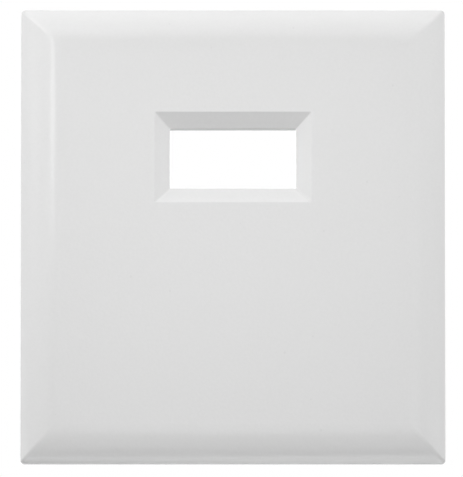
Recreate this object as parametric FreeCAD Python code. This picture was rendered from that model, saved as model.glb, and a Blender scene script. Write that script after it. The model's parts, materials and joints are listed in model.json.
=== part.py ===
import FreeCAD, Part
import math
import os

from FreeCAD import Vector

# Cover plate for one flush data jack, injection moulded in one piece.
#
# Frame: +X to the right and +Z up as installed, -Y out of the wall towards the room.
# The origin is the plate's centre on the plane of its rear rim, which seats on the wall frame.
# A height is measured from that plane towards the room, so the hooks reach negative heights.
# Lengths are in millimetres and angles in degrees.

# The moulded form seen from the room
plate_width = 60.0
plate_height = 65.0
plate_depth = 3.7         # front face above the rear rim
side_height = 1.08        # upright edge between the rear rim and the bevel
side_edge_radius = 0.35   # where the upright edge turns into the bevel
bevel_angle = 52.0        # bevel against the front face, where it leaves the upright edge
bevel_radius = 6.5        # crowns the bevel, from the upright edge to the front face
corner_radius = 0.6       # corners of the plate's outline
wall = 1.8                # skin, measured square to its surface
least_inner_radius = 0.4  # where a thick wall leaves no room for the arc inside it

# Window for the plug, at the bottom of a chamfered funnel
window_width = 17.8
window_height = 8.6
window_rise = 10.95       # window centre above the plate's centre
funnel_width = 2.2        # chamfer, measured along the front face
funnel_depth = 1.5
land_depth = 1.55         # straight wall between the funnel and the back of the pad
funnel_edge_radius = 0.2
pad_margin = 1.2          # pad behind the window, beyond the funnel's front edge

# Skirt that centres the plate in the opening of the wall frame
skirt_inset = 5.6         # plate's side to the skirt's outer face
skirt_wall = 1.2
skirt_reach = 2.0         # beyond the rear rim
skirt_corner_radius = 2.6

# Snap hooks, in the line of the skirt at the top and at the bottom
hook_spacing = 34.0       # between the middles of the two hooks of one side
hook_width = 7.0
hook_root = 1.5
hook_tip = 1.1
hook_reach = 7.4          # beyond the rear rim
hook_nose = 0.8           # catch beyond the hook's outer face
catch_reach = 4.2         # rear rim to the start of the catch
catch_flat = 0.5
catch_angle = 55.0        # catch face against the hook's outer face
hook_foot_radius = 0.5
relief_gap = 1.0          # slot that frees the hook from the skirt

# Stiffening ribs behind the skin, and the ejector posts where they cross
rib_height = 1.2
rib_base = 1.1
rib_top = 0.8
lower_rib_drop = 14.0     # lower cross rib below the plate's centre
post_radius = 1.6
post_extra = 0.1          # post above the ribs

# Construction allowances
overrun = 1.0             # a cutting tool runs this far past what it cuts
bite = 0.4                # a feature is rooted this deep in what carries it
closeness = 1e-6          # shorter gaps than this are one point

# From the side to where the bevel's first slope, drawn on, would meet the front face
bevel_run = (plate_depth - side_height) / math.tan(math.radians(bevel_angle))

ceiling = plate_depth - wall
pad_height = plate_depth - funnel_depth - land_depth
half_pad_width = window_width / 2 + funnel_width + pad_margin
half_pad_height = window_height / 2 + funnel_width + pad_margin
rib_line = half_pad_width - rib_base / 2
skirt_half_width = plate_width / 2 - skirt_inset
skirt_half_height = plate_height / 2 - skirt_inset


def from_front(across, up, height):
    """Point given by its place in front view and its height above the rear rim."""
    return Vector(across, -height, up)


def width_section(along, height):
    """Point of a section taken across the width."""
    return from_front(along, 0, height)


def height_section(along, height):
    """Point of a section taken from bottom to top."""
    return from_front(0, along, height)


def rounded_wire(corners, place):
    """Closed wire through (u, v, radius) corners, each rounded by a tangent arc of its radius."""
    ends = []
    for index, (u, v, radius) in enumerate(corners):
        corner = Vector(u, v, 0)
        before = Vector(*corners[index - 1][:2], 0) - corner
        after = Vector(*corners[(index + 1) % len(corners)][:2], 0) - corner
        before.normalize()
        after.normalize()
        half_angle = before.getAngle(after) / 2
        bisector = (before + after).normalize() if radius else Vector()
        reach = radius / math.tan(half_angle)
        middle = corner + bisector * (radius / math.sin(half_angle) - radius)
        ends.append((corner + before * reach, middle, corner + after * reach))
    edges = []
    for index, (start, middle, end) in enumerate(ends):
        last = ends[index - 1][2]
        if last.distanceToPoint(start) > closeness:
            edges.append(Part.LineSegment(place(last.x, last.y), place(start.x, start.y)).toShape())
        if start.distanceToPoint(end) > closeness:
            points = [place(point.x, point.y) for point in (start, middle, end)]
            edges.append(Part.Arc(*points).toShape())
    return Part.Wire(Part.__sortEdges__(edges))


def rectangle(half_width, half_height, radius, height, centre_up=0.0):
    """Rounded rectangle in front view, at a height above the rear rim."""
    corners = [
        (-half_width, centre_up - half_height, radius),
        (half_width, centre_up - half_height, radius),
        (half_width, centre_up + half_height, radius),
        (-half_width, centre_up + half_height, radius),
    ]
    return rounded_wire(corners, lambda across, up: from_front(across, up, height))


def block(wire, height):
    """Solid that grows from a front-view outline towards the room."""
    return Part.Face(wire).extrude(Vector(0, -height, 0))


def crossed(section):
    """Space shared by a section run from bottom to top and one run across, which mitres its corners."""
    upright = Part.Face(rounded_wire(section(plate_width / 2), width_section))
    lying = Part.Face(rounded_wire(section(plate_height / 2), height_section))
    upright.translate(Vector(0, 0, -plate_height))
    lying.translate(Vector(-plate_width, 0, 0))
    run_up = upright.extrude(Vector(0, 0, 2 * plate_height))
    run_across = lying.extrude(Vector(2 * plate_width, 0, 0))
    return run_up.common(run_across)


def outer_section(half):
    """Upright edge, crowned bevel and flat face, for a plate that is 2 * half across."""
    shoulder = half - bevel_run
    return [
        (-half, 0, 0),
        (-half, side_height, side_edge_radius),
        (-shoulder, plate_depth, bevel_radius),
        (shoulder, plate_depth, bevel_radius),
        (half, side_height, side_edge_radius),
        (half, 0, 0),
    ]


def hollow_section(half):
    """The outer section drawn in by the wall, open past the rear rim."""
    slope = math.tan(math.radians(bevel_angle))
    lift = wall / math.cos(math.radians(bevel_angle)) - side_height
    mouth = half - (lift - overrun) / slope
    shoulder = half - (lift + ceiling) / slope
    inner_radius = max(bevel_radius - wall, least_inner_radius)
    return [
        (-mouth, -overrun, 0),
        (-shoulder, ceiling, inner_radius),
        (shoulder, ceiling, inner_radius),
        (mouth, -overrun, 0),
    ]


def shell():
    """Bevelled skin with an open back."""
    outline = rectangle(plate_width / 2, plate_height / 2, corner_radius, 0)
    outside = crossed(outer_section).common(block(outline, plate_depth))
    return outside.cut(crossed(hollow_section))


def window_pad():
    """Thickening behind the funnel, which carries the window's straight land."""
    outline = rectangle(half_pad_width, half_pad_height, 0, pad_height, window_rise)
    return block(outline, ceiling - pad_height + bite)


def window_cut():
    """Funnel and straight window, run past both faces of the plate."""
    spread = funnel_width * (1 + overrun / funnel_depth)
    funnel_floor = plate_depth - funnel_depth
    half_width, half_height = window_width / 2, window_height / 2
    mouth = rectangle(
        half_width + spread, half_height + spread, 0, plate_depth + overrun, window_rise
    )
    throat = rectangle(half_width, half_height, 0, funnel_floor, window_rise)
    funnel = Part.makeLoft([mouth, throat], True, True)
    through = rectangle(half_width, half_height, 0, pad_height - overrun, window_rise)
    return funnel.fuse(block(through, plate_depth - pad_height + overrun))


def soften_funnel(plate):
    """Round the edge where the funnel leaves the front face."""
    half_width = window_width / 2 + funnel_width
    half_height = window_height / 2 + funnel_width
    rim = []
    for edge in plate.Edges:
        box = edge.BoundBox
        on_face = abs(box.YMin + plate_depth) < closeness and box.YLength < closeness
        across = abs(box.XMax) <= half_width + closeness and abs(box.XMin) <= half_width + closeness
        upright = abs(box.Center.z - window_rise) <= half_height + closeness
        if on_face and across and upright:
            rim.append(edge)
    return plate.makeFillet(funnel_edge_radius, rim)


def skirt():
    """Thin rectangular wall behind the skin, open where the hooks stand."""
    outer = rectangle(skirt_half_width, skirt_half_height, skirt_corner_radius, -skirt_reach)
    inner = rectangle(
        skirt_half_width - skirt_wall,
        skirt_half_height - skirt_wall,
        max(skirt_corner_radius - skirt_wall, least_inner_radius),
        -skirt_reach,
    )
    tall = skirt_reach + ceiling + bite
    ring = block(outer, tall).cut(block(inner, tall))
    half_gate = hook_width / 2 + relief_gap
    for side in (-1, 1):
        for middle in hook_middles():
            gate = Part.makeBox(2 * half_gate, tall, skirt_wall + 2 * overrun)
            low = side * (skirt_half_height - skirt_wall / 2) - skirt_wall / 2 - overrun
            gate.translate(Vector(middle - half_gate, -ceiling, low))
            ring = ring.cut(gate)
    return ring


def hook_middles():
    """Places across the width of the hooks of one side."""
    return (-hook_spacing / 2, hook_spacing / 2)


def hook():
    """One snap hook at the top, centred across the width: a tapered leg with a ramped nose."""
    outside = skirt_half_height
    foot = hook_foot_radius
    catch_run = hook_nose / math.tan(math.radians(catch_angle))
    corners = [
        (outside - hook_root - foot, ceiling + bite, 0),
        (outside - hook_root - foot, ceiling, 0),
        (outside - hook_root, ceiling, foot),
        (outside - hook_tip, -hook_reach, hook_tip / 4),
        (outside, -hook_reach, hook_tip / 4),
        (outside + hook_nose, -catch_reach - catch_run - catch_flat, catch_flat / 4),
        (outside + hook_nose, -catch_reach - catch_run, catch_flat / 4),
        (outside, -catch_reach, 0),
        (outside, ceiling, foot),
        (outside + foot, ceiling, 0),
        (outside + foot, ceiling + bite, 0),
    ]
    leg = Part.Face(rounded_wire(corners, height_section))
    leg.translate(Vector(-hook_width / 2, 0, 0))
    return leg.extrude(Vector(hook_width, 0, 0))


def hooks():
    """The hooks of both sides; those at the bottom are the top ones turned half round."""
    made = []
    for middle in hook_middles():
        for turn in (0, 180):
            leg = hook()
            leg.translate(Vector(middle, 0, 0))
            leg.rotate(Vector(), Vector(0, 1, 0), turn)
            made.append(leg)
    return made


def rib(start, end):
    """Low tapered rib behind the skin between two front-view points on one line."""
    span = Vector(end[0] - start[0], 0, end[1] - start[1])
    corners = [
        (-rib_base / 2, ceiling + bite, 0),
        (-rib_base / 2, ceiling, 0),
        (-rib_top / 2, ceiling - rib_height, 0),
        (rib_top / 2, ceiling - rib_height, 0),
        (rib_base / 2, ceiling, 0),
        (rib_base / 2, ceiling + bite, 0),
    ]
    sideways = height_section if abs(span.x) > abs(span.z) else width_section
    profile = Part.Face(rounded_wire(corners, sideways))
    profile.translate(from_front(*start, 0))
    return profile.extrude(span)


def ribs():
    """Two long ribs beside the window pad, and cross ribs level with it and below it."""
    side = skirt_half_width - skirt_wall / 2
    top = skirt_half_height - skirt_wall / 2
    pad_low = window_rise - half_pad_height + rib_base / 2
    pad_high = window_rise + half_pad_height - rib_base / 2
    made = []
    for across in (-rib_line, rib_line):
        made.append(rib((across, -top), (across, pad_low)))
        made.append(rib((across, pad_high), (across, top)))
    for up in (pad_low, pad_high):
        made.append(rib((-side, up), (-rib_line, up)))
        made.append(rib((rib_line, up), (side, up)))
    made.append(rib((-side, -lower_rib_drop), (side, -lower_rib_drop)))
    return made


def ejector_posts():
    """Round posts where the lower cross rib meets the long ribs."""
    tall = rib_height + post_extra + bite
    made = []
    for across in (-rib_line, rib_line):
        foot = from_front(across, -lower_rib_drop, ceiling - rib_height - post_extra)
        made.append(Part.makeCylinder(post_radius, tall, foot, Vector(0, -1, 0)))
    return made


def faceplate():
    """The whole moulding."""
    backed = shell().multiFuse([window_pad(), skirt(), *hooks(), *ribs(), *ejector_posts()])
    opened = backed.cut(window_cut()).removeSplitter()
    return Part.Solid(soften_funnel(opened).Shells[0])


plate = faceplate()
os.makedirs("parts", exist_ok=True)
plate.exportStep("parts/faceplate.step")
print("faceplate: solids", len(plate.Solids), "valid", plate.isValid())
print("volume", round(plate.Volume, 1), "mm3, faces", len(plate.Faces))
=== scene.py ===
"""Satin white cover plate with a funnelled jack window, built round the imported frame.

The plate is one moulding. Its skin is one closed surface of two parameters. The first runs along
the wall's section: from the window over the front face, the bevel and the rim, and through the
hollow behind back to the window. The second runs round the rounded rectangle that each point of
the section draws. The skirt, hooks, ribs and posts behind are sections carried along paths, and
are united with the skin. Sizes are in millimetres until they enter a mesh, which is in metres.
"""

import json
import logging
import math
from dataclasses import dataclass, field
from enum import Enum
from typing import Any, Iterable, Sequence

import bmesh
import bpy
import numpy as np
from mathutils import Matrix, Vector
from numpy.typing import NDArray


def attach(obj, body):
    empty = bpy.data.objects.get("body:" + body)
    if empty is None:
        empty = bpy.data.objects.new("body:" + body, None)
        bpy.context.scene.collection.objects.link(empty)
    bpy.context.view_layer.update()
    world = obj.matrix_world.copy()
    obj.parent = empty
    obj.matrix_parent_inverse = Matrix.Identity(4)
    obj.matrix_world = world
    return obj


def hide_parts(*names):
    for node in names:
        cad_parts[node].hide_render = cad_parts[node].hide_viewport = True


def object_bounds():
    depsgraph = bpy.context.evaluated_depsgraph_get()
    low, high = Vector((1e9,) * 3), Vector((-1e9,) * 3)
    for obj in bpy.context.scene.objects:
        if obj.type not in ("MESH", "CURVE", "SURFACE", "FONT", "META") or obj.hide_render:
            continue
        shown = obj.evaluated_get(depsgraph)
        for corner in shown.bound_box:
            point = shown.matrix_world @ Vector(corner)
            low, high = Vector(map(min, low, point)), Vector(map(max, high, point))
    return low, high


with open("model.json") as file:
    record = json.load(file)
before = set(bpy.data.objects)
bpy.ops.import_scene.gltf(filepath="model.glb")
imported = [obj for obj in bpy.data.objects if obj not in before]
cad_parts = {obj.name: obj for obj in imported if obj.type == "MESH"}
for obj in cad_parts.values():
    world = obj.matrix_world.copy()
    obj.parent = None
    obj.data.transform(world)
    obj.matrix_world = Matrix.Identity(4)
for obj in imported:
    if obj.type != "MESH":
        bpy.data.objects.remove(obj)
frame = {"record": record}
cad_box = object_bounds()

logging.basicConfig(level=logging.INFO, format="%(name)s: %(message)s")
log = logging.getLogger("faceplate")

Points = NDArray[np.float64]
Corner = tuple[float, float, float]

MM = 0.001
SLIVER = 1e-6                        # millimetres below which neighbouring points are one
OPENING_CLEARANCE = 0.05             # millimetres that the record's opening lies inside the window
WHITE = (1.0, 1.0, 1.0, 1.0)


class Side(Enum):
    """The two sides of the plate that carry hooks, as the sign of their height."""

    TOP = 1
    BOTTOM = -1


# ---------------------------------------------------------------------------------------------
# Surfaces


@dataclass
class Surface:
    """Vertices in millimetres, as (across, height above the rim, up), and faces between them."""

    points: Points
    faces: list[Sequence[int]]

    def mesh(self, name: str) -> bpy.types.Mesh:
        """Make a mesh in metres, with its faces pointing outwards.

        Args:
            name: The mesh's name.

        Returns:
            The mesh, in the frame where -Y is height above the rim.
        """
        made = bpy.data.meshes.new(name)
        metres = self.points * np.array([MM, -MM, MM])
        made.from_pydata(metres.tolist(), [], [tuple(face) for face in self.faces])
        shape = bmesh.new()
        shape.from_mesh(made)
        bmesh.ops.recalc_face_normals(shape, faces=shape.faces)
        shape.to_mesh(made)
        shape.free()
        return made


def rounded_line(corners: Sequence[Corner], steps: int = 8, closed: bool = False) -> Points:
    """Polyline whose corners are arcs tangent to both of their legs.

    With w the unit vector halfway between a corner's legs and g half the angle between them, the
    arc's centre is the corner plus w * radius / sin(g), and the arc turns by pi - 2g about it,
    evenly to both sides of -w.

    Args:
        corners: (u, v, radius) of each corner. An open line's ends have radius 0.
        steps: Chords in each arc.
        closed: Whether the last corner joins the first.

    Returns:
        The points in order, with coinciding neighbours merged.
    """
    table = np.array(corners, float)
    corner, radius = table[:, :2], table[:, 2:]
    back = np.roll(corner, 1, axis=0) - corner
    ahead = np.roll(corner, -1, axis=0) - corner
    if not closed:
        back[0] = -ahead[0]
        ahead[-1] = -back[-1]
    back /= np.linalg.norm(back, axis=1, keepdims=True)
    ahead /= np.linalg.norm(ahead, axis=1, keepdims=True)
    half = np.arccos(np.clip((back * ahead).sum(1, keepdims=True), -1, 1)) / 2
    middle = back + ahead
    length = np.linalg.norm(middle, axis=1, keepdims=True)
    middle = np.divide(middle, length, out=np.zeros_like(middle), where=length > SLIVER)
    centre = corner + middle * radius / np.sin(half)
    turning = np.sign(back[:, :1] * ahead[:, 1:] - back[:, 1:] * ahead[:, :1])
    sweep = np.linspace(-0.5, 0.5, steps + 1) * (math.pi - 2 * half) * -turning
    cos, sin = np.cos(sweep)[..., None], np.sin(sweep)[..., None]
    spoke = -middle[:, None, :]
    quarter_turn = np.stack([-spoke[..., 1], spoke[..., 0]], axis=-1)
    arcs = centre[:, None, :] + radius[:, None] * (spoke * cos + quarter_turn * sin)
    line = arcs.reshape(-1, 2)
    gap = np.linalg.norm(line - np.roll(line, 1, axis=0), axis=1)
    keep = gap > SLIVER
    keep[0] = keep[0] or not closed
    return line[keep]


def grid_faces(
    rows: int, columns: int, rows_closed: bool, columns_closed: bool
) -> list[Sequence[int]]:
    """Quads of a grid of points that are numbered row by row.

    Args:
        rows: Points along the first parameter.
        columns: Points along the second.
        rows_closed: Whether the last row joins the first.
        columns_closed: Whether the last column joins the first.

    Returns:
        Four point numbers for each quad.
    """
    row = np.arange(rows if rows_closed else rows - 1)[:, None]
    column = np.arange(columns if columns_closed else columns - 1)[None, :]
    next_row, next_column = (row + 1) % rows, (column + 1) % columns
    quads = [row * columns + column, row * columns + next_column]
    quads += [next_row * columns + next_column, next_row * columns + column]
    return np.stack(quads, axis=-1).reshape(-1, 4).tolist()


def rectangle_loops(loops: Points, arc_steps: int, side_steps: int) -> Points:
    """Rounded rectangles, each with the same number of points.

    Round a corner the points are its centre plus radius * (cos, sin) of an angle that runs through
    a quarter turn. Along a side they divide the line from one arc's end to the start of the next.

    Args:
        loops: One row a rectangle: half width, half height, centre up, corner radius, height.
        arc_steps: Chords in each corner.
        side_steps: Parts of each side.

    Returns:
        Points as (loop, place round it, 3), in (across, height, up).
    """
    half_width, half_height, centre_up, radius, height = (c[:, None, None] for c in loops.T)
    start = np.arange(4)[:, None] * math.pi / 2
    angle = start + np.linspace(0, math.pi / 2, arc_steps + 1)[None, :]
    side_x = np.sign(np.cos(start + math.pi / 4))
    side_z = np.sign(np.sin(start + math.pi / 4))
    across = side_x * (half_width - radius) + radius * np.cos(angle)
    up = centre_up + side_z * (half_height - radius) + radius * np.sin(angle)
    arcs = np.stack([across, up], axis=-1)
    share = np.linspace(0, 1, side_steps + 1)[1:-1][:, None]
    sides = arcs[:, :, -1:] * (1 - share) + np.roll(arcs, -1, axis=1)[:, :, :1] * share
    ring = np.concatenate([arcs, sides], axis=2).reshape(len(loops), -1, 2)
    level = np.broadcast_to(height[:, 0], ring.shape[:2])
    return np.stack([ring[..., 0], level, ring[..., 1]], axis=-1)


def carried(section: Points, path: Points, outward: Points) -> Surface:
    """Closed section carried along an open path, with its ends capped.

    A point is the path's point plus outward * the section's first coordinate, at the height of the
    section's second.

    Args:
        section: Points of the closed section as (outwards from the path, height above the rim).
        path: Points of the path in front view as (across, up).
        outward: Unit vector in front view at each point of the path.

    Returns:
        The closed surface.
    """
    count, around = len(path), len(section)
    flat = path[:, None, :] + outward[:, None, :] * section[None, :, :1]
    level = np.broadcast_to(section[None, :, 1], flat.shape[:2])
    points = np.stack([flat[..., 0], level, flat[..., 1]], axis=-1).reshape(-1, 3)
    faces = grid_faces(count, around, False, True)
    faces.append(list(range(around)))
    faces.append(list(range((count - 1) * around, count * around)))
    return Surface(points, faces)


def left_of(path: Points) -> Points:
    """Unit vectors that point left of a path's direction, from central differences along it.

    Args:
        path: Points of the path in front view as (across, up).

    Returns:
        One vector a point, as (across, up).
    """
    along = np.gradient(path, axis=0)
    along /= np.linalg.norm(along, axis=1, keepdims=True)
    return np.stack([-along[:, 1], along[:, 0]], axis=-1)


# ---------------------------------------------------------------------------------------------
# Sizes


@dataclass(frozen=True)
class PlateSizes:
    """Sizes in millimetres shared by the moulding's parts. The overall ones come from the frame."""

    width: float
    height: float
    depth: float                     # front face above the rear rim
    window_width: float
    window_height: float
    window_rise: float
    side_height: float = 1.08
    bevel_angle: float = math.radians(52.0)
    bevel_radius: float = 6.5
    wall: float = 1.8
    funnel_width: float = 2.2
    funnel_depth: float = 1.5
    land_depth: float = 1.55
    pad_margin: float = 1.2
    skirt_inset: float = 5.6
    skirt_wall: float = 1.2

    @classmethod
    def from_frame(cls, box: tuple[Vector, Vector], record: dict[str, Any]) -> "PlateSizes":
        """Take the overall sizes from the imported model.

        Args:
            box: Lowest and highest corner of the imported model, in metres.
            record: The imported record, whose window opening lies a clearance inside the window.

        Returns:
            The sizes.
        """
        low, high = (np.array(corner) / MM for corner in box)
        opening = next(o for o in record["physics"]["openings"] if o["name"] == "jack_window")
        window_low, window_high = np.array(opening["box_m"]) / MM
        span = window_high - window_low + 2 * OPENING_CLEARANCE
        return cls(
            width=high[0] - low[0],
            height=high[2] - low[2],
            depth=-low[1],
            window_width=span[0],
            window_height=span[2],
            window_rise=(window_high[2] + window_low[2]) / 2,
        )

    @property
    def bevel_run(self) -> float:
        """From the side to where the bevel's first slope, drawn on, would meet the front face."""
        return (self.depth - self.side_height) / math.tan(self.bevel_angle)

    @property
    def ceiling(self) -> float:
        """Height of the skin's flat back."""
        return self.depth - self.wall

    @property
    def pad_height(self) -> float:
        """Height of the back of the window's pad."""
        return self.depth - self.funnel_depth - self.land_depth

    @property
    def pad_reach(self) -> float:
        """How far the pad goes out beyond the window."""
        return self.funnel_width + self.pad_margin

    @property
    def skirt_half_width(self) -> float:
        """Half the skirt's outer width."""
        return self.width / 2 - self.skirt_inset

    @property
    def skirt_half_height(self) -> float:
        """Half the skirt's outer height."""
        return self.height / 2 - self.skirt_inset


# ---------------------------------------------------------------------------------------------
# The moulding


@dataclass
class MouldedSkin:
    """Front face, bevel, rim and hollow, and the window's funnel and pad, as one closed surface."""

    sizes: PlateSizes
    side_edge_radius: float = 0.15
    outline_corner_radius: float = 0.6
    ridge_radius: float = 0.4        # rounds the mitres between two bevels
    hollow_corner_radius: float = 0.4
    window_corner_radius: float = 0.12
    funnel_edge_radius: float = 0.2
    fine_edge_radius: float = 0.12
    bevel_run_out: float = 1.05      # where the crowned bevel's line ends, in tangent lengths
    pad_run_on: float = 0.36         # from the pad's edge out to where the window's line starts
    funnel_run_on: float = 0.4       # from the funnel's edge out to where that line ends
    bevel_steps: int = 18
    face_loops: int = 14
    arc_steps: int = 6
    side_steps: int = 16

    def plate_stations(self) -> Points:
        """Loops drawn in from the plate's outline, from the face over the rim into the hollow.

        Returns:
            One row a loop: inset from the outline, height, corner radius.
        """
        s = self.sizes
        slope = math.tan(s.bevel_angle)
        lift = s.wall / math.cos(s.bevel_angle) - s.side_height
        mouth, shoulder = lift / slope, (lift + s.ceiling) / slope
        tangent = s.bevel_radius * math.tan(s.bevel_angle / 2)
        inner_radius = max(s.bevel_radius - s.wall, self.hollow_corner_radius)
        outside = rounded_line(
            [
                (s.bevel_run + self.bevel_run_out * tangent, s.depth, 0),
                (s.bevel_run, s.depth, s.bevel_radius),
                (0, s.side_height, self.side_edge_radius),
                (0, 0, self.fine_edge_radius),
                (mouth / 2, 0, 0),
            ],
            steps=self.bevel_steps,
        )
        inside = rounded_line(
            [
                (mouth / 2, 0, 0),
                (mouth, 0, self.fine_edge_radius),
                (shoulder, s.ceiling, inner_radius),
                (shoulder + tangent, s.ceiling, 0),
            ]
        )
        corner = self.outline_corner_radius
        outside_radius = np.maximum(corner - outside[:, 0], self.ridge_radius)
        inside_radius = np.full(len(inside), self.hollow_corner_radius)
        stations = np.concatenate([outside, inside[1:]])
        radii = np.concatenate([outside_radius, inside_radius[1:]])
        return np.column_stack([stations, radii])

    def window_stations(self) -> Points:
        """Loops drawn out from the window, from the hollow over the pad and funnel to the face.

        Returns:
            One row a loop: reach beyond the window, height, corner radius.
        """
        s = self.sizes
        fine = self.fine_edge_radius
        line = rounded_line(
            [
                (s.pad_reach + self.pad_run_on, s.ceiling, 0),
                (s.pad_reach, s.ceiling, fine),
                (s.pad_reach, s.pad_height, fine),
                (0, s.pad_height, fine),
                (0, s.depth - s.funnel_depth, fine),
                (s.funnel_width, s.depth, self.funnel_edge_radius),
                (s.funnel_width + self.funnel_run_on, s.depth, 0),
            ]
        )
        radii = np.full(len(line), self.window_corner_radius)
        return np.column_stack([line, radii])

    def surface(self) -> Surface:
        """Draw the skin through all its loops.

        They are the plate's, those of a flat bridge behind, the window's, and those of a flat
        bridge in front. A bridge's loops divide the way from one family's last loop to the other's
        first.

        Returns:
            The closed surface.
        """
        s = self.sizes
        plate, window = self.plate_stations(), self.window_stations()
        inset, plate_height, plate_radius = plate.T
        reach, window_height, window_radius = window.T
        centre = np.zeros(len(plate))
        drawn_in = [s.width / 2 - inset, s.height / 2 - inset, centre, plate_radius, plate_height]
        rise = np.full(len(window), s.window_rise)
        half_width, half_height = s.window_width / 2 + reach, s.window_height / 2 + reach
        drawn_out = [half_width, half_height, rise, window_radius, window_height]
        plate_loops, window_loops = np.column_stack(drawn_in), np.column_stack(drawn_out)
        share = np.linspace(0, 1, self.face_loops + 2)[1:-1][:, None]
        behind = plate_loops[-1] * (1 - share) + window_loops[0] * share
        face = window_loops[-1] * (1 - share) + plate_loops[0] * share
        loops = np.concatenate([plate_loops, behind, window_loops, face])
        points = rectangle_loops(loops, self.arc_steps, self.side_steps)
        faces = grid_faces(points.shape[0], points.shape[1], True, True)
        return Surface(points.reshape(-1, 3), faces)


@dataclass
class CentringSkirt:
    """Thin wall behind the skin that fits the wall frame's opening, with gates for the hooks."""

    sizes: PlateSizes
    gates: Sequence[tuple[float, float]]   # (from, to) across the width, left to right
    reach: float = 2.0                     # beyond the rear rim
    corner_radius: float = 2.6
    root: float = 0.4                      # sunk into the skin
    tip_radius: float = 0.15
    tip_steps: int = 4
    bend_steps: int = 10

    def section(self) -> Points:
        """The wall's section, rounded at its tip.

        Returns:
            Points as (outwards from the wall's middle, height above the rim).
        """
        half, tip = self.sizes.skirt_wall / 2, self.tip_radius
        top = self.sizes.ceiling + self.root
        corners = [
            (-half, top, 0),
            (-half, -self.reach, tip),
            (half, -self.reach, tip),
            (half, top, 0),
        ]
        return rounded_line(corners, steps=self.tip_steps, closed=True)

    def runs(self) -> list[Points]:
        """Middle lines of the wall's runs.

        Returns:
            One run between the gates at the top and one at the bottom, and one round each side.
        """
        half_wall = self.sizes.skirt_wall / 2
        side = self.sizes.skirt_half_width - half_wall
        top = self.sizes.skirt_half_height - half_wall
        radius = self.corner_radius - half_wall
        (_, start), (end, outer) = self.gates[0], self.gates[-1]
        made = [rounded_line([(start, level, 0), (end, level, 0)]) for level in (top, -top)]
        for hand in (1, -1):
            bend = [
                (hand * outer, top, 0),
                (hand * side, top, radius),
                (hand * side, -top, radius),
                (hand * outer, -top, 0),
            ]
            made.append(rounded_line(bend, steps=self.bend_steps))
        return made

    def surfaces(self) -> list[Surface]:
        """One closed surface for each run."""
        section = self.section()
        return [carried(section, run, left_of(run)) for run in self.runs()]


@dataclass
class SnapHook:
    """Springy leg with a ramped nose, which catches behind the edge of the wall frame."""

    sizes: PlateSizes
    side: Side
    middle: float                    # place across the width
    reach: float                     # beyond the rear rim
    width: float = 7.0
    root_thickness: float = 1.5
    tip_thickness: float = 1.1
    nose: float = 0.8
    catch_reach: float = 4.2
    catch_flat: float = 0.5
    catch_angle: float = math.radians(55.0)
    foot_radius: float = 0.5
    softness: float = 0.25           # radius of a small flat's edges, as a share of the flat
    sunk: float = 0.4                # into the skin
    arc_steps: int = 6

    def section(self) -> Points:
        """Leg and nose.

        Returns:
            Points as (outwards from the plate's middle, height above the rim).
        """
        outside, foot = self.sizes.skirt_half_height, self.foot_radius
        ceiling, inside = self.sizes.ceiling, outside - self.root_thickness
        catch_run = self.nose / math.tan(self.catch_angle)
        soft_tip, soft_nose = self.tip_thickness * self.softness, self.catch_flat * self.softness
        catch = -self.catch_reach - catch_run
        corners = [
            (inside - foot, ceiling + self.sunk, 0),
            (inside - foot, ceiling, 0),
            (inside, ceiling, foot),
            (outside - self.tip_thickness, -self.reach, soft_tip),
            (outside, -self.reach, soft_tip),
            (outside + self.nose, catch - self.catch_flat, soft_nose),
            (outside + self.nose, catch, soft_nose),
            (outside, -self.catch_reach, 0),
            (outside, ceiling, foot),
            (outside + foot, ceiling, 0),
            (outside + foot, ceiling + self.sunk, 0),
        ]
        return rounded_line(corners, steps=self.arc_steps, closed=True)

    def surface(self) -> Surface:
        """Carry the section across the hook's width.

        Returns:
            The closed surface.
        """
        half = self.width / 2
        path = np.array([[self.middle - half, 0.0], [self.middle + half, 0.0]])
        outward = np.array([[0.0, self.side.value]] * 2)
        return carried(self.section(), path, outward)


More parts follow.
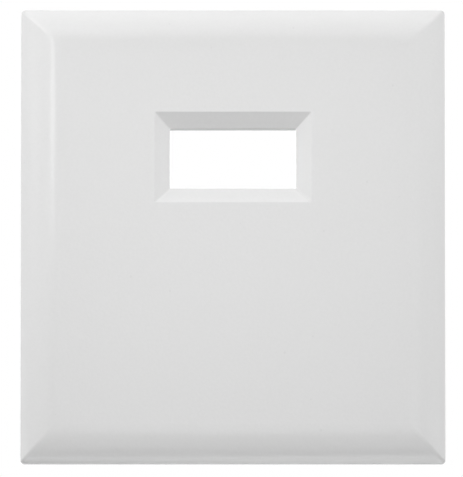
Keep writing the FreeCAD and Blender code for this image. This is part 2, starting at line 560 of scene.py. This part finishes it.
@dataclass
class RibGrid:
    """Low ribs that stiffen the skin, and the round ejector posts where they cross."""

    sizes: PlateSizes
    height: float = 1.2
    base: float = 1.1
    top: float = 0.8
    softness: float = 1 / 6          # radius of the crest's edges, as a share of the crest
    sunk: float = 0.4                # into the skin
    lower_drop: float = 14.0         # lower cross rib below the plate's centre
    post_radius: float = 1.6
    post_extra: float = 0.1
    post_sides: int = 40
    edge_steps: int = 3

    @property
    def line(self) -> float:
        """Place of the long ribs, flush with the sides of the window's pad."""
        return self.sizes.window_width / 2 + self.sizes.pad_reach - self.base / 2

    def section(self) -> Points:
        """A rib's section, tapered, with its edges just broken.

        Returns:
            Points as (outwards from the rib's middle, height above the rim).
        """
        foot, crest, soft = self.base / 2, self.top / 2, self.top * self.softness
        ceiling = self.sizes.ceiling
        low = ceiling - self.height
        corners = [
            (-foot, ceiling + self.sunk, 0),
            (-foot, ceiling, 0),
            (-crest, low, soft),
            (crest, low, soft),
            (foot, ceiling, 0),
            (foot, ceiling + self.sunk, 0),
        ]
        return rounded_line(corners, steps=self.edge_steps, closed=True)

    def paths(self) -> list[Points]:
        """Middle lines of the ribs.

        Returns:
            The two ends of each rib in front view, as (across, up).
        """
        s = self.sizes
        side = s.skirt_half_width - s.skirt_wall / 2
        top = s.skirt_half_height - s.skirt_wall / 2
        half_pad = s.window_height / 2 + s.pad_reach - self.base / 2
        low, high = s.window_rise - half_pad, s.window_rise + half_pad
        lines = [[(-side, -self.lower_drop), (side, -self.lower_drop)]]
        for hand in (-1, 1):
            long_rib, wall = hand * self.line, hand * side
            lines.append([(long_rib, -top), (long_rib, low)])
            lines.append([(long_rib, high), (long_rib, top)])
            lines.append([(wall, low), (long_rib, low)])
            lines.append([(wall, high), (long_rib, high)])
        return [np.array(line, float) for line in lines]

    def post(self, across: float) -> Surface:
        """A round post: its circle is radius * (cos, sin) of a full turn.

        Args:
            across: Place across the width.

        Returns:
            The closed surface.
        """
        turn = np.arange(self.post_sides) * 2 * math.pi / self.post_sides
        low = self.sizes.ceiling - self.height - self.post_extra
        soft = self.post_extra / 2
        radii = np.array([self.post_radius, self.post_radius, self.post_radius - soft])
        levels = np.array([self.sizes.ceiling + self.sunk, low + soft, low])
        x = across + radii[:, None] * np.cos(turn)
        z = -self.lower_drop + radii[:, None] * np.sin(turn)
        y = np.broadcast_to(levels[:, None], x.shape)
        faces = grid_faces(len(radii), self.post_sides, False, True)
        faces.append(list(range(self.post_sides)))
        faces.append(list(range(x.size - self.post_sides, x.size)))
        return Surface(np.stack([x, y, z], axis=-1).reshape(-1, 3), faces)

    def surfaces(self) -> list[Surface]:
        """Carry the section along every rib, and add the posts.

        Returns:
            One closed surface for each rib and post.
        """
        section = self.section()
        made = [carried(section, path, left_of(path)) for path in self.paths()]
        return made + [self.post(across) for across in (-self.line, self.line)]


# ---------------------------------------------------------------------------------------------
# Finish


class Term:
    """A shader value that can be added, multiplied and so on, as Math nodes in its graph."""

    def __init__(self, graph: "Graph", socket: bpy.types.NodeSocket | None) -> None:
        """Wrap an output socket of the graph, or none for the node that ends it."""
        self.graph = graph
        self.socket = socket

    def _join(self, operation: str, *values: Any) -> "Term":
        """A Math node of this operation on the values."""
        return self.graph.node("ShaderNodeMath", {"operation": operation}, dict(enumerate(values)))

    def __add__(self, other: Any) -> "Term":
        """Sum."""
        return self._join("ADD", self, other)

    __radd__ = __add__

    def __sub__(self, other: Any) -> "Term":
        """Difference."""
        return self._join("SUBTRACT", self, other)

    def __rsub__(self, other: Any) -> "Term":
        """Difference, from a plain number."""
        return self._join("SUBTRACT", other, self)

    def __mul__(self, other: Any) -> "Term":
        """Product."""
        return self._join("MULTIPLY", self, other)

    __rmul__ = __mul__

    def __lt__(self, other: Any) -> "Term":
        """1 where this is smaller, else 0."""
        return self._join("LESS_THAN", self, other)

    def __or__(self, other: Any) -> "Term":
        """The larger, so that of two 0 or 1 values it says whether either is 1."""
        return self._join("MAXIMUM", self, other)


@dataclass
class Graph:
    """The node tree of a material or of the surroundings."""

    tree: bpy.types.NodeTree

    def node(
        self, kind: str, settings: dict[str, Any], inputs: dict[Any, Any], output: Any = 0
    ) -> Term:
        """Add a node.

        Args:
            kind: The node's type.
            settings: Its properties, which are set first.
            inputs: Values or terms for its sockets, by name or number.
            output: The output socket to hand back, by name or number.

        Returns:
            The chosen output as a term.
        """
        made = self.tree.nodes.new(kind)
        for name, value in settings.items():
            setattr(made, name, value)
        for name, value in inputs.items():
            if isinstance(value, Term):
                self.tree.links.new(value.socket, made.inputs[name])
            else:
                made.inputs[name].default_value = value
        return Term(self, made.outputs[output] if len(made.outputs) else None)


def backdrop_seen(graph: Graph) -> Term:
    """Tell the rays that see the backdrop from those that gather its light.

    Args:
        graph: Where to add the nodes.

    Returns:
        1 for a ray from the camera and for a mirrored or refracted one, and 0 for any other.
    """
    camera = graph.node("ShaderNodeLightPath", {}, {}, "Is Camera Ray")
    mirrored = graph.node("ShaderNodeLightPath", {}, {}, "Is Glossy Ray")
    refracted = graph.node("ShaderNodeLightPath", {}, {}, "Is Transmission Ray")
    return camera | mirrored | refracted


@dataclass(frozen=True)
class PalePaper:
    """Matt paper that looks nearly as white as the surroundings, and can't be seen from below."""

    name: str = "pale_paper"
    colour: tuple[float, float, float, float] = (0.8, 0.8, 0.8, 1.0)
    roughness: float = 0.9
    own_white: float = 0.97          # share of plain white in its look; the rest takes a shadow

    def material(self) -> bpy.types.Material:
        """Make the material.

        Returns:
            A material for the floor.
        """
        made = bpy.data.materials.new(self.name)
        made.use_nodes = True
        made.node_tree.nodes.clear()
        graph = Graph(made.node_tree)
        looks = {"Base Color": self.colour, "Roughness": self.roughness}
        matt = graph.node("ShaderNodeBsdfPrincipled", {}, looks)
        white = graph.node("ShaderNodeEmission", {}, {"Color": WHITE, "Strength": 1.0})
        clear = graph.node("ShaderNodeBsdfTransparent", {}, {})
        seen = backdrop_seen(graph)
        underside = graph.node("ShaderNodeNewGeometry", {}, {}, "Backfacing")
        paper = graph.node("ShaderNodeMixShader", {}, {0: seen * self.own_white, 1: matt, 2: white})
        surface = graph.node("ShaderNodeMixShader", {}, {0: seen * underside, 1: paper, 2: clear})
        graph.node("ShaderNodeOutputMaterial", {}, {"Surface": surface})
        return made


@dataclass(frozen=True)
class SatinPlastic:
    """White moulded plastic with the fine spark-eroded grain of its mould and a few dust specks."""

    name: str = "satin_white_plastic"
    colour: tuple[float, float, float] = (0.76, 0.76, 0.76)
    roughness: float = 0.22
    roughness_spread: float = 0.05
    grain_size: float = 0.42         # millimetres
    grain_height: float = 0.007      # millimetres
    mottle: float = 0.016            # share by which the colour varies with the grain
    speck_spacing: float = 4.0       # millimetres
    speck_radius: float = 0.16       # millimetres
    speck_depth: float = 0.05        # share by which a speck is darker

    def material(self) -> bpy.types.Material:
        """Make the material.

        The noise runs from 0 to 1, so twice its distance from a half swings between -1 and 1.

        Returns:
            A material on Object coordinates.
        """
        made = bpy.data.materials.new(self.name)
        made.use_nodes = True
        made.node_tree.nodes.clear()
        graph = Graph(made.node_tree)
        place = graph.node("ShaderNodeTexCoord", {}, {}, "Object")
        fineness, closeness = 1 / (self.grain_size * MM), 1 / (self.speck_spacing * MM)
        noise = {"Vector": place, "Scale": fineness, "Detail": 1.0}
        grain = graph.node("ShaderNodeTexNoise", {}, noise)
        swing = (grain - 0.5) * 2
        cells = {"Vector": place, "Scale": closeness}
        to_speck = graph.node("ShaderNodeTexVoronoi", {}, cells, "Distance")
        speck = to_speck < self.speck_radius / self.speck_spacing
        shade = (1 + swing * self.mottle) * (1 - speck * self.speck_depth)
        tinting = {0: self.colour, "Scale": shade}
        tint = graph.node("ShaderNodeVectorMath", {"operation": "SCALE"}, tinting, "Vector")
        relief = {"Height": grain, "Distance": self.grain_height * MM, "Strength": 1.0}
        bump = graph.node("ShaderNodeBump", {}, relief)
        roughness = self.roughness + swing * self.roughness_spread
        looks = {"Base Color": tint, "Roughness": roughness, "Normal": bump}
        shader = graph.node("ShaderNodeBsdfPrincipled", {}, looks)
        graph.node("ShaderNodeOutputMaterial", {}, {"Surface": shader})
        return made


# ---------------------------------------------------------------------------------------------
# The plate, put together


@dataclass
class Faceplate:
    """The whole moulding as one piece in place of its CAD node."""

    sizes: PlateSizes
    hook_reach: float                # beyond the rear rim
    hook_spacing: float = 34.0
    relief_gap: float = 1.0          # between a hook and the skirt
    crease: float = math.radians(32.0)
    finish: SatinPlastic = field(default_factory=SatinPlastic)

    def hooks(self) -> list[SnapHook]:
        """The four hooks."""
        places = (-self.hook_spacing / 2, self.hook_spacing / 2)
        return [SnapHook(self.sizes, side, x, self.hook_reach) for side in Side for x in places]

    def features(self) -> list[Surface]:
        """Surfaces that stand on the back of the skin.

        Returns:
            One closed surface for each run of the skirt, hook, rib and post.
        """
        hooks = self.hooks()
        half = hooks[0].width / 2 + self.relief_gap
        gates = [(x - half, x + half) for x in sorted({hook.middle for hook in hooks})]
        skirt = CentringSkirt(self.sizes, gates).surfaces()
        ribs = RibGrid(self.sizes).surfaces()
        return [*skirt, *(hook.surface() for hook in hooks), *ribs]

    def united(self) -> bpy.types.Mesh:
        """Unite the skin with what stands on it.

        Returns:
            One closed mesh.
        """
        body = bpy.data.objects.new("skin", MouldedSkin(self.sizes).surface().mesh("skin"))
        bpy.context.scene.collection.objects.link(body)
        tools = []
        for number, surface in enumerate(self.features()):
            name = f"feature_{number}"
            tool = bpy.data.objects.new(name, surface.mesh(name))
            bpy.context.scene.collection.objects.link(tool)
            union = body.modifiers.new(name, "BOOLEAN")
            union.operation, union.solver, union.object = "UNION", "MANIFOLD", tool
            tools.append(tool)
        bpy.context.view_layer.update()
        graph = bpy.context.evaluated_depsgraph_get()
        whole = bpy.data.meshes.new_from_object(body.evaluated_get(graph))
        for used in (body, *tools):
            bpy.data.objects.remove(used)
        return whole

    def build(self) -> bpy.types.Object:
        """Make, dress and register the piece.

        Returns:
            The piece.
        """
        mesh = self.united()
        mesh.name = "faceplate_moulding"
        mesh.shade_smooth()
        mesh.set_sharp_from_angle(angle=self.crease)
        piece = bpy.data.objects.new("faceplate_moulding", mesh)
        bpy.context.scene.collection.objects.link(piece)
        even = piece.modifiers.new("even_faces", "WEIGHTED_NORMAL")
        even.keep_sharp = True
        mesh.materials.clear()
        mesh.materials.append(self.finish.material())
        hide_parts("faceplate")
        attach(piece, "root")
        log.info("%s: %d faces", piece.name, len(mesh.polygons))
        return piece


# ---------------------------------------------------------------------------------------------
# Studio


@dataclass(frozen=True)
class Softbox:
    """Square soft lamp that faces the plate."""

    name: str
    azimuth: float                   # degrees, 0 in front, positive to the right
    elevation: float                 # degrees
    distance: float                  # metres from the plate's middle
    size: float                      # metres
    power: float                     # watts

    def hang(self) -> bpy.types.Object:
        """Put the lamp in the scene.

        Returns:
            The lamp.
        """
        data = bpy.data.lights.new(self.name, "AREA")
        data.shape, data.size, data.energy = "SQUARE", self.size, self.power
        lamp = bpy.data.objects.new(self.name, data)
        turn, rise = math.radians(self.azimuth), math.radians(self.elevation)
        level = math.cos(rise)
        away = Vector((math.sin(turn) * level, -math.cos(turn) * level, math.sin(rise)))
        lamp.location = away * self.distance
        lamp.rotation_euler = away.to_track_quat("Z", "Y").to_euler()
        lamp.visible_camera = False
        bpy.context.scene.collection.objects.link(lamp)
        return lamp


@dataclass
class Studio:
    """Pale floor, white surroundings, softboxes and the camera. Lengths are in millimetres."""

    sizes: PlateSizes
    softboxes: Iterable[Softbox] = (
        Softbox("upper_left", -52.0, 35.0, 0.32, 0.36, 0.70),
        Softbox("upper_right", 60.0, 25.0, 0.32, 0.36, 0.30),
        Softbox("overhead", 0.0, 88.0, 0.32, 0.30, 0.20),
        Softbox("high_front_left", -20.0, 38.0, 0.40, 0.20, 0.12),
        Softbox("high_front_right", 35.0, 30.0, 0.32, 0.30, 0.20),
        Softbox("front", 0.0, 10.0, 0.20, 0.06, 0.020),
        Softbox("left_front", -20.0, 15.0, 0.20, 0.04, 0.025),
        Softbox("right_front", 22.0, 5.0, 0.26, 0.08, 0.025),
        Softbox("low_front", 0.0, -15.0, 0.20, 0.06, 0.020),
        Softbox("lower_front", 0.0, -40.0, 0.30, 0.15, 0.040),
        Softbox("under_front", 0.0, -61.0, 0.30, 0.20, 0.070),
        Softbox("lower_left", -60.0, -45.0, 0.26, 0.08, 0.040),
        Softbox("below", 70.0, -80.0, 0.40, 0.20, 0.35),
        Softbox("left_side", -75.0, 15.0, 0.35, 0.25, 0.050),
        Softbox("left_rear", -105.0, 5.0, 0.40, 0.30, 0.35),
        Softbox("right_side", 78.0, 12.0, 0.40, 0.30, 0.25),
        Softbox("right_rear", 112.0, 8.0, 0.40, 0.20, 0.25),
        Softbox("back", 180.0, 15.0, 0.45, 0.15, 1.30),
    )
    camera_drop: float = math.radians(9.6)
    lens: float = 1300.0
    view_margin: float = 2.5         # by which the view is higher than the plate
    aim: tuple[float, float] = (-0.21, -0.12)
    clip_margin: float = 3.0         # far clipping, in camera distances
    floor_level: float = -840.0
    floor_reach: float = 3000.0      # from the middle to each side
    paper: PalePaper = field(default_factory=PalePaper)

    def floor(self) -> bpy.types.Object:
        """Lay a pale floor below the plate.

        Returns:
            The floor.
        """
        mesh = bpy.data.meshes.new("floor")
        square = np.array([(-1, -1), (1, -1), (1, 1), (-1, 1)]) * self.floor_reach
        corners = np.column_stack([square, np.full(len(square), self.floor_level)]) * MM
        mesh.from_pydata(corners.tolist(), [], [(0, 1, 2, 3)])
        made = bpy.data.objects.new("floor", mesh)
        bpy.context.scene.collection.objects.link(made)
        mesh.materials.append(self.paper.material())
        return made

    def surroundings(self) -> None:
        """Make the surroundings white for the rays that see them, and dark for all others."""
        world = bpy.data.worlds.new("studio")
        bpy.context.scene.world = world
        world.use_nodes = True
        world.node_tree.nodes.clear()
        graph = Graph(world.node_tree)
        looks = {"Color": WHITE, "Strength": backdrop_seen(graph)}
        light = graph.node("ShaderNodeBackground", {}, looks)
        graph.node("ShaderNodeOutputWorld", {}, {"Surface": light})

    def camera(self) -> bpy.types.Object:
        """Point a long lens slightly up at the plate, from below its normal.

        The distance is the view's height times the lens, over the sensor's larger side.

        Returns:
            The camera.
        """
        data = bpy.data.cameras.new("camera")
        data.lens = self.lens
        made = bpy.data.objects.new("camera", data)
        drop, (across, up) = self.camera_drop, self.aim
        distance = (self.sizes.height + self.view_margin) * MM * data.lens / data.sensor_width
        away = Vector((0, -math.cos(drop), -math.sin(drop)))
        upright = Vector((0, -math.sin(drop), math.cos(drop)))
        target = (Vector((across, 0, 0)) + upright * up) * MM
        made.location = target + away * distance
        made.rotation_euler = away.to_track_quat("Z", "Y").to_euler()
        data.clip_end = self.clip_margin * distance
        bpy.context.scene.collection.objects.link(made)
        bpy.context.scene.camera = made
        return made

    def build(self) -> None:
        """Set up the whole studio."""
        self.floor()
        self.surroundings()
        for softbox in self.softboxes:
            softbox.hang()
        self.camera()
        bpy.context.scene.view_settings.view_transform = "Standard"
        log.info("studio: floor, surroundings, softboxes and camera")


def main() -> None:
    """Build the plate and its studio."""
    sizes = PlateSizes.from_frame(cad_box, frame["record"])
    Faceplate(sizes, hook_reach=cad_box[1].y / MM).build()
    Studio(sizes).build()


if __name__ == "__main__":
    main()
